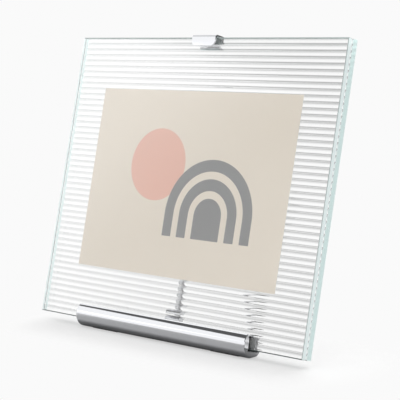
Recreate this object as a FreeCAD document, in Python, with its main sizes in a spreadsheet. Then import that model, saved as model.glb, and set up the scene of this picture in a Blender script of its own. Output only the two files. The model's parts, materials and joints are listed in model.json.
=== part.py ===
import FreeCAD, Part
import math
import os
import Sketcher
from FreeCAD import Placement, Rotation, Vector

# Glass photo frame: two panes stand in a slotted metal bar, a clip holds their tops,
# and a hinged rod leg behind them holds the lean.
# Millimetres and degrees. +Z is up, the glass faces -Y, the origin is the middle of
# the footprint on the surface that the frame stands on.

doc = FreeCAD.newDocument("clip_frame")
sizes = doc.addObject("Spreadsheet::Sheet", "sizes")

driving_sizes = [
    ("lean_angle", 13, "lean of the glass from upright, degrees"),
    ("pane_width", 236, "both panes, side to side"),
    ("pane_height", 200.5, "both panes, bottom edge to top edge"),
    ("front_glass", 4, "clear pane, thickness"),
    ("back_glass", 4.1, "reeded pane, thickness under the reeds"),
    ("glass_arris", 0.4, "ground bevel along the edges of the glass"),
    ("reed_pitch", 4.09, "one reed to the next"),
    ("reed_height", 0.9, "reed above its valley"),
    ("reed_valley", 0.15, "flat between two reeds"),
    ("print_gap", 0.3, "space between the clear pane and the reeds"),
    ("print_play", 0.02, "between the clear pane and the photo print"),
    ("print_shift", -0.8, "middle of the print to the side of the middle of the glass"),
    ("print_width", 177.8, "photo print, side to side"),
    ("print_height", 127, "photo print, bottom to top"),
    ("print_thickness", 0.25, "photo print, paper"),
    ("print_lift", 37, "bottom of the print above the bottom edge of the glass"),
    ("bar_radius", 9, "round foot bar"),
    ("bar_length", 153, "foot bar, end to end"),
    ("bar_bevel", 0.5, "turned bevel round both ends of the bar"),
    ("bar_flat", 0.7, "depth of the flat milled under the bar"),
    ("pane_forward", 3.2, "front of the glass in front of the bar axis"),
    ("pane_drop", 3.6, "bottom edge of the glass below the bar axis"),
    ("liner_wall", 1.1, "rubber between the front jaw and the glass"),
    ("liner_floor", 0.8, "rubber under the glass"),
    ("liner_rise", 8.5, "top of the rubber above the bottom edge of the glass"),
    ("liner_inset", 0.4, "rubber short of each end of the bar"),
    ("slot_play", 0.3, "between the glass and the rear jaw"),
    ("lip_rise", 5.1, "start of the rounded lip above the bottom edge of the glass"),
    ("lip_radius", 7, "rounded lip of the front jaw"),
    ("jaw_edge", 0.4, "broken edge along the top of both jaws"),
    ("pad_length", 24, "rubber pad under the bar"),
    ("pad_width", 5, "rubber pad under the bar, front to back"),
    ("pad_thickness", 1.2, "rubber pad under the bar"),
    ("pad_proud", 0.6, "pad below the flat of the bar"),
    ("pad_inset", 10, "pad from the end of the bar"),
    ("strap_width", 12.8, "bent bracket behind the bar"),
    ("strap_thickness", 1.5, "sheet of the bracket"),
    ("strap_bend", 1.5, "inner radius of the bracket's bend"),
    ("strap_setback", 9.8, "front of the bracket's upright behind the bar axis"),
    ("strap_top", 11.4, "top of the bracket above the bar axis"),
    ("tongue_reach", 5.6, "bracket's tongue in front of the bar axis"),
    ("recess_play", 0.15, "round the tongue in its recess"),
    ("boss_width", 9, "block behind the bracket that holds the rod"),
    ("boss_bottom", 1.5, "bottom of the block above the bar axis"),
    ("boss_wall", 1.3, "block behind the rod"),
    ("boss_round", 2, "rounded rear corners of the block"),
    ("socket_depth", 8, "rod in the block"),
    ("rod_radius", 2, "rods of the spine and the leg"),
    ("rod_bevel", 0.4, "bevel on the ends of the rods"),
    ("spine_offset", 14, "spine rod behind the bar axis"),
    ("fit_play", 0.02, "round a rod in its socket"),
    ("screw_radius", 1.25, "bracket screws"),
    ("screw_head_radius", 2.3, "bracket screws, countersunk head"),
    ("screw_length", 3.7, "bracket screws, whole length"),
    ("screw_spread", 3.4, "bracket screws, each from the middle"),
    ("screw_forward", 3, "bracket screws in front of the bar axis"),
    ("grub_radius", 1.5, "grub screws that hold the spine rod"),
    ("grub_sink", 0.3, "grub screws below the face that they enter"),
    ("hinge_rise", 150, "hinge axis above the bar axis, along the spine"),
    ("hinge_offset", 8, "hinge axis behind the spine rod"),
    ("head_width", 9.6, "hinge head, side to side"),
    ("cheek_radius", 5, "cheeks of the hinge head round the pin"),
    ("head_round", 1.5, "rounded front corners of the hinge head"),
    ("collar_radius", 3.6, "collar of the hinge head round the spine rod"),
    ("collar_length", 7, "collar below the hinge head"),
    ("rest_thickness", 2, "rubber pad between the hinge head and the glass"),
    ("rest_radius", 4, "rubber pad between the hinge head and the glass"),
    ("rest_edge", 0.4, "bevelled edge of that pad"),
    ("pin_radius", 1.25, "hinge pin"),
    ("pin_play", 0.03, "round the pin in the knuckle and the washers"),
    ("pin_head_radius", 2.4, "flat head of the hinge pin"),
    ("pin_head_height", 1, "flat head of the hinge pin"),
    ("pin_tail", 1.1, "hinge pin beyond the far cheek"),
    ("retainer_radius", 2.6, "ring pressed on the end of the pin"),
    ("retainer_thickness", 0.5, "ring pressed on the end of the pin"),
    ("washer_radius", 3.6, "washers beside the knuckle"),
    ("washer_thickness", 0.3, "washers beside the knuckle"),
    ("knuckle_thickness", 4, "eye of the leg, side to side"),
    ("eye_radius", 4, "eye of the leg round the pin"),
    ("heel_reach", 4.5, "stop face in front of the hinge axis"),
    ("heel_rise", 4, "stop face above the hinge axis"),
    ("sleeve_top", 6.2, "top of the leg's sleeve below the hinge axis"),
    ("sleeve_length", 11, "sleeve that holds the leg rod"),
    ("sleeve_radius", 3.4, "sleeve that holds the leg rod"),
    ("leg_insert", 8, "leg rod in its sleeve"),
    ("leg_reach", 106, "middle of the leg's tip behind the bar axis"),
    ("tip_radius", 4, "rubber tip of the leg"),
    ("tip_height", 11, "rubber tip above the middle of its dome"),
    ("tip_seat", 1.5, "end of the leg rod above the middle of the dome"),
    ("clip_width", 21, "top clip, side to side"),
    ("clip_sheet", 1.3, "top clip, sheet"),
    ("clip_grip", 4, "top clip below the top edge of the glass"),
    ("clip_bend", 0.5, "inner radius of the clip's two bends"),
    ("clip_corner", 3.8, "rounded lower corners of the clip"),
    ("clip_lining", 0.4, "soft lining between the clip and the glass"),
    ("lining_inset", 0.5, "lining short of the edges of the clip"),
    ("overrun", 3, "how far every cut runs past what it cuts"),
]
for row, (name, size, note) in enumerate(driving_sizes, start=1):
    sizes.set(f"A{row}", note)
    sizes.set(f"B{row}", str(size))
    sizes.setAlias(f"B{row}", name)
doc.recompute()

# Directions, and the names of the planes and axes that every body has.
side_to_side = Vector(1, 0, 0)
front_to_back = Vector(0, 1, 0)
upward = Vector(0, 0, 1)
side_view = "YZ_Plane"
top_view = "XY_Plane"
up_axis = "Z_Axis"

# Places worked out from the sizes. "Leaning" places are measured from the bar axis,
# back from it square to the glass and up from it along the glass.
lean_cos = "cos(sizes.lean_angle)"
lean_sin = "sin(sizes.lean_angle)"
axis_up = "(sizes.bar_radius - sizes.bar_flat + sizes.pad_proud)"
axis_back = "((sizes.bar_radius - sizes.leg_reach - sizes.tip_radius) / 2)"
flat_level = "(sizes.bar_flat - sizes.bar_radius)"
tongue_level = f"({flat_level} + sizes.strap_thickness)"

pane_front = "(-sizes.pane_forward)"
print_face = "(sizes.front_glass - sizes.pane_forward)"
reed_crest = f"({print_face} + sizes.print_gap)"
slab_face = f"({reed_crest} + sizes.reed_height)"
pane_back = f"({slab_face} + sizes.back_glass)"
pane_foot = "(-sizes.pane_drop)"
pane_top = "(sizes.pane_height - sizes.pane_drop)"

slot_front = f"({pane_front} - sizes.liner_wall)"
slot_back = f"({pane_back} + sizes.slot_play)"
slot_floor = f"({pane_foot} - sizes.liner_floor)"
lip_start = f"({pane_foot} + sizes.lip_rise)"
lip_front = f"({slot_front} - sizes.lip_radius)"
lip_top = f"({lip_start} + sizes.lip_radius)"
above_bar = f"({lip_top} + sizes.overrun)"

boss_back = "(sizes.spine_offset + sizes.rod_radius + sizes.boss_wall)"
socket_floor = "(sizes.strap_top - sizes.socket_depth)"
boss_middle = "((sizes.strap_top + sizes.boss_bottom) / 2)"

hinge_back = "(sizes.spine_offset + sizes.hinge_offset)"
head_face = f"({pane_back} + sizes.rest_thickness)"
head_foot = "(sizes.hinge_rise - sizes.cheek_radius)"
head_top = "(sizes.hinge_rise + sizes.cheek_radius)"
fork_floor = f"({hinge_back} - sizes.heel_reach)"
fork_gap = "(sizes.knuckle_thickness + 2 * sizes.washer_thickness)"
collar_foot = f"({head_foot} - sizes.collar_length)"

# The hinge axis and the leg in upright places: back from the bar axis, up from the
# surface.
hinge_y = f"({hinge_back} * {lean_cos} + sizes.hinge_rise * {lean_sin})"
hinge_z = f"({axis_up} - {hinge_back} * {lean_sin} + sizes.hinge_rise * {lean_cos})"
leg_run = f"(sizes.leg_reach - {hinge_y})"
leg_drop = f"({hinge_z} - sizes.tip_radius)"
leg_length = f"sqrt({leg_run} * {leg_run} + {leg_drop} * {leg_drop})"
leg_tilt = f"atan({leg_run} / {leg_drop})"
fold_angle = f"({leg_tilt} + sizes.lean_angle * 1 deg)"
sleeve_foot = "(sizes.sleeve_top + sizes.sleeve_length)"


def size_of(expression):
    """Value of an expression in the sheet's sizes."""
    result = sizes.evalExpression(expression)
    return float(getattr(result, "Value", result))


def new_body(name):
    body = doc.addObject("PartDesign::Body", name)
    body.Label = name
    body.AllowCompound = True
    return body


def place(thing, back, up, turn_axis, turn):
    """Put a body at back, up and turn it about a side-to-side axis, all bound."""
    thing.Placement = Placement(Vector(0, size_of(back), size_of(up)), Rotation(turn_axis, size_of(turn)))
    thing.setExpression("Placement.Base.y", back)
    thing.setExpression("Placement.Base.z", up)
    thing.setExpression("Placement.Rotation.Angle", turn)


def stand_upright(body):
    body.setExpression("Placement.Base.y", axis_back)
    body.setExpression("Placement.Base.z", axis_up)


def lean_back(body):
    place(body, axis_back, axis_up, -side_to_side, "sizes.lean_angle")


def hang_on_hinge(body):
    place(body, f"{axis_back} + {hinge_y}", hinge_z, side_to_side, leg_tilt)


def origin_part(body, role):
    return next(part for part in body.Origin.OriginFeatures if part.Role == role)


def new_sketch(body, name, role, level="0"):
    sketch = body.newObject("Sketcher::SketchObject", name)
    sketch.AttachmentSupport = [(origin_part(body, role), "")]
    sketch.MapMode = "FlatFace"
    sketch.setExpression("AttachmentOffset.Base.z", level)
    return sketch


def turn_sketch(sketch, turn_axis, turn):
    sketch.AttachmentOffset = Placement(sketch.AttachmentOffset.Base, Rotation(turn_axis, size_of(turn)))
    sketch.setExpression("AttachmentOffset.Rotation.Angle", turn)


def constrain(sketch, constraint, expression):
    number = sketch.addConstraint(constraint)
    sketch.setExpression(f"Constraints[{number}]", expression)


def pin_point(sketch, edge, end, across, up):
    for kind, expression in (("DistanceX", across), ("DistanceY", up)):
        distance = size_of(expression)
        constrain(sketch, Sketcher.Constraint(kind, -1, 1, edge, end, distance), expression)


def add_line(sketch, start, finish):
    edge = sketch.addGeometry(Part.LineSegment(start, finish), False)
    return (edge, 1), (edge, 2)


def add_arc(sketch, start, finish, radius, side):
    """Arc of less than half a turn; side is 1 with its centre to the left, -1 to the right."""
    bend = size_of(radius)
    chord = finish - start
    depth = math.sqrt(max(bend ** 2 - (chord.Length / 2) ** 2, 0))
    left = Vector(-chord.y, chord.x, 0).normalize()
    centre = (start + finish) / 2 + left * depth * side
    first, last = (start, finish) if side > 0 else (finish, start)
    begin = math.atan2(first.y - centre.y, first.x - centre.x)
    end = math.atan2(last.y - centre.y, last.x - centre.x)
    circle = Part.Circle(centre, upward, bend)
    edge = sketch.addGeometry(Part.ArcOfCircle(circle, begin, end), False)
    constrain(sketch, Sketcher.Constraint("Radius", edge, bend), radius)
    return ((edge, 1), (edge, 2)) if side > 0 else ((edge, 2), (edge, 1))


def add_outline(sketch, corners):
    """Closed outline. A corner is (across, up), with (radius, side) added where an arc
    runs from it to the next corner."""
    points = [Vector(size_of(corner[0]), size_of(corner[1]), 0) for corner in corners]
    ends = []
    for corner, start, finish in zip(corners, points, points[1:] + points[:1]):
        if len(corner) > 2:
            ends.append(add_arc(sketch, start, finish, corner[2], corner[3]))
        else:
            ends.append(add_line(sketch, start, finish))
    for (_, finish), (start, _) in zip(ends, ends[1:] + ends[:1]):
        sketch.addConstraint(Sketcher.Constraint("Coincident", *finish, *start))
    for corner, (start, _) in zip(corners, ends):
        pin_point(sketch, *start, corner[0], corner[1])


def add_rectangle(sketch, left, right, bottom, top):
    add_outline(sketch, [(left, bottom), (right, bottom), (right, top), (left, top)])


def add_circle(sketch, across, up, radius):
    centre = Vector(size_of(across), size_of(up), 0)
    edge = sketch.addGeometry(Part.Circle(centre, upward, size_of(radius)), False)
    pin_point(sketch, edge, 3, across, up)
    constrain(sketch, Sketcher.Constraint("Radius", edge, size_of(radius)), radius)


def extrude(body, kind, sketch, length, both_ways=False, backwards=False):
    feature = body.newObject(f"PartDesign::{kind}", f"{sketch.Name}_{kind.lower()}")
    feature.Profile = sketch
    feature.Midplane = both_ways
    feature.Reversed = backwards
    feature.setExpression("Length", length)
    doc.recompute()
    return feature


def pad(body, sketch, length, **ways):
    return extrude(body, "Pad", sketch, length, **ways)


def pocket(body, sketch, length, **ways):
    return extrude(body, "Pocket", sketch, length, **ways)


def primitive(body, kind, name, start, along, bound):
    """A primitive whose own axis runs along a direction from start, all bound."""
    feature = body.newObject(f"PartDesign::{kind}", name)
    feature.Placement = Placement(Vector(), Rotation(upward, along))
    for axis, expression in zip("xyz", start):
        feature.setExpression(f"Placement.Base.{axis}", expression)
    for size, expression in bound.items():
        feature.setExpression(size, expression)
    doc.recompute()
    return feature


def cylinder(body, name, start, along, radius, length):
    return primitive(body, "AdditiveCylinder", name, start, along, {"Radius": radius, "Height": length})


def bore(body, name, start, along, radius, length):
    return primitive(body, "SubtractiveCylinder", name, start, along, {"Radius": radius, "Height": length})


def edge_names(feature, wanted):
    """Names of the feature's edges whose middle and direction pass the test."""
    names = []
    for number, edge in enumerate(feature.Shape.Edges, start=1):
        if edge.Degenerated:
            continue
        middle = edge.valueAt((edge.FirstParameter + edge.LastParameter) / 2)
        direction = edge.tangentAt((edge.FirstParameter + edge.LastParameter) / 2)
        if wanted(middle, direction, edge):
            names.append(f"Edge{number}")
    return names


nearness_share = 0.001


def near(length, expression):
    return abs(length - size_of(expression)) < size_of("sizes.bar_radius") * nearness_share


def runs_along(direction, axis):
    return abs(direction.dot(axis)) > 1 - nearness_share


def dress(body, kind, name, base, edges, size):
    feature = body.newObject(f"PartDesign::{kind}", name)
    feature.Base = (base, edges)
    feature.setExpression("Radius" if kind == "Fillet" else "Size", size)
    doc.recompute()
    return feature


def mirror_feature(body, name, features):
    feature = body.newObject("PartDesign::Mirrored", name)
    feature.Originals = features
    feature.MirrorPlane = (origin_part(body, side_view), [""])
    body.Tip = feature
    doc.recompute()
    return feature


# Foot bar: a round bar with a leaning slot for the glass. The front jaw has a rounded
# lip, and a flat below holds two pad recesses and the recess of the bracket's tongue.
def make_foot_bar():
    body = new_body("foot_bar")
    stand_upright(body)
    sketch = new_sketch(body, "bar_round", side_view)
    add_circle(sketch, "0", "0", "sizes.bar_radius")
    bar = pad(body, sketch, "sizes.bar_length", both_ways=True)
    ends = edge_names(bar, lambda middle, direction, edge: edge.isClosed())
    dress(body, "Chamfer", "bar_end_bevels", bar, ends, "sizes.bar_bevel")

    sketch = new_sketch(body, "bar_underside", side_view)
    below_bar = "(-sizes.bar_radius - sizes.overrun)"
    add_rectangle(sketch, "-sizes.bar_radius", "sizes.bar_radius", below_bar, flat_level)
    through = "sizes.bar_length + sizes.overrun"
    pocket(body, sketch, through, both_ways=True)

    sketch = new_sketch(body, "glass_slot", side_view)
    turn_sketch(sketch, -upward, "sizes.lean_angle")
    add_outline(sketch, [
        (slot_front, slot_floor),
        (slot_back, slot_floor),
        (slot_back, above_bar),
        (lip_front, above_bar),
        (lip_front, lip_top, "sizes.lip_radius", -1),
        (slot_front, lip_start),
    ])
    slot = pocket(body, sketch, through, both_ways=True)

    rim = "sizes.bar_radius"
    jaw_tops = edge_names(slot, lambda middle, direction, edge: (
        runs_along(direction, side_to_side)
        and near(math.hypot(middle.y, middle.z), rim)
        and middle.z > 0))
    dress(body, "Fillet", "jaw_edges", slot, jaw_tops, "sizes.jaw_edge")

    sketch = new_sketch(body, "pad_recess", top_view, flat_level)
    add_pad_outline(sketch)
    recess = pocket(body, sketch, "sizes.pad_thickness - sizes.pad_proud", backwards=True)
    mirror_feature(body, "pad_recess_pair", [recess])

    sketch = new_sketch(body, "tongue_recess", top_view, flat_level)
    half_width = "(sizes.strap_width / 2 + sizes.recess_play)"
    add_rectangle(sketch, f"-{half_width}", half_width,
                  "-sizes.tongue_reach - sizes.recess_play", "sizes.bar_radius + sizes.overrun")
    pocket(body, sketch, "sizes.strap_thickness", backwards=True)

    for side, name in ((1, "right"), (-1, "left")):
        start = (f"{side} * sizes.screw_spread", "-sizes.screw_forward", flat_level)
        bore(body, f"{name}_screw_hole", start, upward, "sizes.screw_radius", "sizes.screw_length")
    return body


def add_pad_outline(sketch):
    outer = "(sizes.bar_length / 2 - sizes.pad_inset)"
    inner = f"({outer} - sizes.pad_length)"
    add_rectangle(sketch, inner, outer, "-sizes.pad_width / 2", "sizes.pad_width / 2")


# Rubber strip in the slot: a floor under both panes and a wall in front of them.
def make_slot_liner():
    body = new_body("slot_liner")
    lean_back(body)
    sketch = new_sketch(body, "liner_section", side_view)
    top = f"({pane_foot} + sizes.liner_rise)"
    add_outline(sketch, [
        (slot_front, slot_floor),
        (slot_back, slot_floor),
        (slot_back, pane_foot),
        (pane_front, pane_foot),
        (pane_front, top, "sizes.liner_wall", 1),
        (slot_front, f"{top} - sizes.liner_wall"),
    ])
    pad(body, sketch, "sizes.bar_length - 2 * sizes.liner_inset", both_ways=True)
    return body


def make_bar_pads():
    body = new_body("bar_pads")
    stand_upright(body)
    sketch = new_sketch(body, "pad_outline", top_view, f"{flat_level} - sizes.pad_proud")
    add_pad_outline(sketch)
    rubber = pad(body, sketch, "sizes.pad_thickness")
    mirror_feature(body, "pad_pair", [rubber])
    return body


# Bent bracket: its tongue lies in the recess under the bar, its upright stands behind
# the bar, and the block behind the upright holds the spine rod.
def make_foot_bracket():
    body = new_body("foot_bracket")
    lean_back(body)
    front = "sizes.strap_setback"
    back = "(sizes.strap_setback + sizes.strap_thickness)"

    def below_bar(level):
        """Leaning place of the tongue's end at an upright level."""
        across = f"(-sizes.tongue_reach * {lean_cos} - {level} * {lean_sin})"
        up = f"({level} * {lean_cos} - sizes.tongue_reach * {lean_sin})"
        return across, up

    def under_upright(face, level):
        return face, f"(({level} + {face} * {lean_sin}) / {lean_cos})"

    sketch = new_sketch(body, "strap_section", side_view)
    add_outline(sketch, [
        below_bar(flat_level),
        under_upright(back, flat_level),
        (back, "sizes.strap_top"),
        (front, "sizes.strap_top"),
        under_upright(front, tongue_level),
        below_bar(tongue_level),
    ])
    strap = pad(body, sketch, "sizes.strap_width", both_ways=True)

    def bend_at(face, level):
        return edge_names(strap, lambda middle, direction, edge: (
            runs_along(direction, side_to_side)
            and near(middle.y, face)
            and near(middle.z, under_upright(face, level)[1])))

    outer = bend_at(back, flat_level)
    outer_radius = "sizes.strap_bend + sizes.strap_thickness"
    strap = dress(body, "Fillet", "outer_bend", strap, outer, outer_radius)
    inner = bend_at(front, tongue_level)
    dress(body, "Fillet", "inner_bend", strap, inner, "sizes.strap_bend")

    sketch = new_sketch(body, "boss_section", side_view)
    add_rectangle(sketch, front, boss_back, "sizes.boss_bottom", "sizes.strap_top")
    boss = pad(body, sketch, "sizes.boss_width", both_ways=True)
    corners = edge_names(boss, lambda middle, direction, edge: (
        runs_along(direction, upward) and near(middle.y, boss_back)))
    dress(body, "Fillet", "boss_corners", boss, corners, "sizes.boss_round")

    socket = ("0", "sizes.spine_offset", socket_floor)
    depth = "sizes.socket_depth + sizes.overrun"
    bore(body, "rod_socket", socket, upward, "sizes.rod_radius + sizes.fit_play", depth)
    side = ("-sizes.boss_width / 2 - sizes.overrun", "sizes.spine_offset", boss_middle)
    length = "sizes.boss_width / 2 + sizes.overrun"
    bore(body, "grub_hole", side, side_to_side, "sizes.grub_radius", length)

    sketch = new_sketch(body, "tongue_holes", top_view)
    turn_sketch(sketch, side_to_side, "sizes.lean_angle")
    for spread in ("-sizes.screw_spread", "sizes.screw_spread"):
        add_circle(sketch, spread, "-sizes.screw_forward", "sizes.screw_radius")
    holes = pocket(body, sketch, "2 * (sizes.bar_radius + sizes.overrun)", both_ways=True)
    mouths = edge_names(holes, lambda middle, direction, edge: (
        edge.isClosed()
        and near(edge.BoundBox.XLength, "2 * sizes.screw_radius")
        and near(upright_level(edge.CenterOfMass), flat_level)))
    dress(body, "Chamfer", "countersinks", holes, mouths, "sizes.screw_head_radius - sizes.screw_radius")
    return body


def upright_level(point):
    """Upright height, from the bar axis, of a point in a leaning body."""
    return point.z * size_of(lean_cos) - point.y * size_of(lean_sin)


def make_bracket_screws():
    body = new_body("bracket_screws")
    stand_upright(body)
    head_height = "(sizes.screw_head_radius - sizes.screw_radius)"
    for side, name in ((1, "right"), (-1, "left")):
        start = (f"{side} * sizes.screw_spread", "-sizes.screw_forward", flat_level)
        primitive(body, "AdditiveCone", f"{name}_screw_head", start, upward, {
            "Radius1": "sizes.screw_head_radius",
            "Radius2": "sizes.screw_radius",
            "Height": head_height,
        })
        cylinder(body, f"{name}_screw_shank", start, upward, "sizes.screw_radius", "sizes.screw_length")
    return body


def bevel_round_ends(body, rod):
    ends = edge_names(rod, lambda middle, direction, edge: edge.isClosed())
    dress(body, "Chamfer", f"{rod.Name}_bevels", rod, ends, "sizes.rod_bevel")


def make_spine_rod():
    body = new_body("spine_rod")
    lean_back(body)
    start = ("0", "sizes.spine_offset", socket_floor)
    rod = cylinder(body, "spine", start, upward, "sizes.rod_radius", f"sizes.hinge_rise - {socket_floor}")
    bevel_round_ends(body, rod)
    return body


# Two grub screws from the left side: one in the bracket's block, one in the hinge head.
def make_grub_screws():
    body = new_body("grub_screws")
    lean_back(body)
    for name, width, level in (("lower", "sizes.boss_width", boss_middle),
                               ("upper", "sizes.head_width", f"({head_foot})")):
        length = f"({width} / 2 - sizes.grub_sink - sizes.rod_radius)"
        start = (f"-sizes.rod_radius - {length}", "sizes.spine_offset", level)
        cylinder(body, f"{name}_grub", start, side_to_side, "sizes.grub_radius", length)
    return body


# Hinge head on top of the spine: a collar round the rod, a face for the rest pad, and
# two cheeks that carry the pin. The floor between the cheeks is the leg's stop.
def make_hinge_head():
    body = new_body("hinge_head")
    lean_back(body)
    sketch = new_sketch(body, "head_section", side_view)
    foot = f"({head_foot} - sizes.grub_radius * 2)"
    add_outline(sketch, [
        (head_face, foot),
        (fork_floor, foot),
        (fork_floor, head_foot),
        (hinge_back, head_foot),
        (hinge_back, head_top),
        (head_face, head_top),
    ])
    pad(body, sketch, "sizes.head_width", both_ways=True)
    sketch = new_sketch(body, "cheeks", side_view)
    add_circle(sketch, hinge_back, "sizes.hinge_rise", "sizes.cheek_radius")
    head = pad(body, sketch, "sizes.head_width", both_ways=True)
    corners = edge_names(head, lambda middle, direction, edge: (
        runs_along(direction, upward) and near(middle.y, head_face)))
    dress(body, "Fillet", "head_corners", head, corners, "sizes.head_round")
    start = ("0", "sizes.spine_offset", collar_foot)
    cylinder(body, "collar", start, upward, "sizes.collar_radius", f"sizes.hinge_rise - {collar_foot}")
    start = ("0", "sizes.spine_offset", f"{collar_foot} - sizes.overrun")
    depth = f"sizes.hinge_rise - {collar_foot} + sizes.overrun"
    bore(body, "spine_socket", start, upward, "sizes.rod_radius + sizes.fit_play", depth)

    sketch = new_sketch(body, "fork", side_view)
    add_rectangle(sketch, fork_floor, f"{hinge_back} + sizes.cheek_radius + sizes.overrun",
                  f"{head_foot} - sizes.overrun", f"{head_top} + sizes.overrun")
    pocket(body, sketch, fork_gap, both_ways=True)

    left = "-sizes.head_width / 2 - sizes.overrun"
    across = "sizes.head_width + 2 * sizes.overrun"
    bore(body, "pin_hole", (left, hinge_back, "sizes.hinge_rise"), side_to_side, "sizes.pin_radius", across)
    start = (left, "sizes.spine_offset", head_foot)
    bore(body, "head_grub_hole", start, side_to_side, "sizes.grub_radius",
         "sizes.head_width / 2 + sizes.overrun")
    return body


def make_rest_pad():
    body = new_body("rest_pad")
    lean_back(body)
    start = ("0", pane_back, "sizes.hinge_rise")
    disc = cylinder(body, "rest", start, front_to_back, "sizes.rest_radius", "sizes.rest_thickness")
    rim = edge_names(disc, lambda middle, direction, edge: edge.isClosed() and near(middle.y, pane_back))
    dress(body, "Chamfer", "rest_rim", disc, rim, "sizes.rest_edge")
    return body


def make_hinge_pin():
    body = new_body("hinge_pin")
    lean_back(body)
    tail = "(sizes.head_width / 2 + sizes.pin_tail)"
    start = (f"-{tail}", hinge_back, "sizes.hinge_rise")
    cylinder(body, "pin", start, side_to_side, "sizes.pin_radius", f"{tail} + sizes.head_width / 2")
    start = ("sizes.head_width / 2", hinge_back, "sizes.hinge_rise")
    head = cylinder(body, "pin_head", start, side_to_side, "sizes.pin_head_radius", "sizes.pin_head_height")
    outside = "sizes.head_width / 2 + sizes.pin_head_height"
    rim = edge_names(head, lambda middle, direction, edge: edge.isClosed() and near(middle.x, outside))
    dress(body, "Chamfer", "pin_head_rim", head, rim, "sizes.pin_head_height / 2")
    return body


def add_ring(body, name, left, radius, hole_radius, thickness):
    sketch = new_sketch(body, name, side_view, left)
    add_circle(sketch, hinge_back, "sizes.hinge_rise", radius)
    add_circle(sketch, hinge_back, "sizes.hinge_rise", hole_radius)
    pad(body, sketch, thickness)


def make_pin_washers():
    body = new_body("pin_washers")
    lean_back(body)
    for name, left in (("left_washer", f"-{fork_gap} / 2"),
                       ("right_washer", "sizes.knuckle_thickness / 2")):
        add_ring(body, name, left, "sizes.washer_radius", "sizes.pin_radius + sizes.pin_play",
                 "sizes.washer_thickness")
    return body


def make_pin_retainer():
    body = new_body("pin_retainer")
    lean_back(body)
    left = "-sizes.head_width / 2 - sizes.retainer_thickness"
    add_ring(body, "retainer_ring", left, "sizes.retainer_radius", "sizes.pin_radius",
             "sizes.retainer_thickness")
    return body


# Leg knuckle: an eye on the pin, a heel that meets the stop when the leg is open, and a
# sleeve round the leg rod. The leg hangs along its own -Z.
def make_leg_knuckle():
    body = new_body("leg_knuckle")
    hang_on_hinge(body)
    sketch = new_sketch(body, "eye", side_view)
    add_circle(sketch, "0", "0", "sizes.eye_radius")
    pad(body, sketch, "sizes.knuckle_thickness", both_ways=True)

    sketch = new_sketch(body, "heel", side_view)
    turn_sketch(sketch, -upward, fold_angle)
    add_rectangle(sketch, "-sizes.heel_reach", "0", "0", "sizes.heel_rise")
    pad(body, sketch, "sizes.knuckle_thickness", both_ways=True)

    sketch = new_sketch(body, "neck", side_view)
    neck = "(sizes.knuckle_thickness / 2)"
    below_top = f"(-sizes.sleeve_top - {neck})"
    add_rectangle(sketch, f"-{neck}", neck, below_top, "0")
    pad(body, sketch, "sizes.knuckle_thickness", both_ways=True)

    start = ("0", "0", f"-{sleeve_foot}")
    sleeve = cylinder(body, "sleeve", start, upward, "sizes.sleeve_radius", "sizes.sleeve_length")
    mouth = edge_names(sleeve, lambda middle, direction, edge: (
        edge.isClosed() and near(middle.z, f"-{sleeve_foot}")))
    dress(body, "Chamfer", "sleeve_bevel", sleeve, mouth, "sizes.rod_bevel")
    bore(body, "leg_socket", start, upward, "sizes.rod_radius + sizes.fit_play", "sizes.leg_insert")
    start = ("-sizes.knuckle_thickness", "0", "0")
    bore(body, "eye_hole", start, side_to_side, "sizes.pin_radius + sizes.pin_play",
         "2 * sizes.knuckle_thickness")
    return body


def make_leg_rod():
    body = new_body("leg_rod")
    hang_on_hinge(body)
    start = ("0", "0", f"sizes.tip_seat - {leg_length}")
    length = f"{leg_length} - sizes.tip_seat - {sleeve_foot} + sizes.leg_insert"
    rod = cylinder(body, "leg", start, upward, "sizes.rod_radius", length)
    bevel_round_ends(body, rod)
    return body


def make_leg_tip():
    body = new_body("leg_tip")
    hang_on_hinge(body)
    middle = ("0", "0", f"-{leg_length}")
    primitive(body, "AdditiveSphere", "tip_dome", middle, upward, {"Radius": "sizes.tip_radius"})
    tip = cylinder(body, "tip_side", middle, upward, "sizes.tip_radius", "sizes.tip_height")
    top = f"sizes.tip_height - {leg_length}"
    rim = edge_names(tip, lambda middle, direction, edge: edge.isClosed() and near(middle.z, top))
    dress(body, "Chamfer", "tip_rim", tip, rim, "(sizes.tip_radius - sizes.rod_radius) / 2")
    seat = ("0", "0", f"sizes.tip_seat - {leg_length}")
    bore(body, "tip_socket", seat, upward, "sizes.rod_radius + sizes.fit_play", "sizes.tip_height")
    return body


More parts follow.
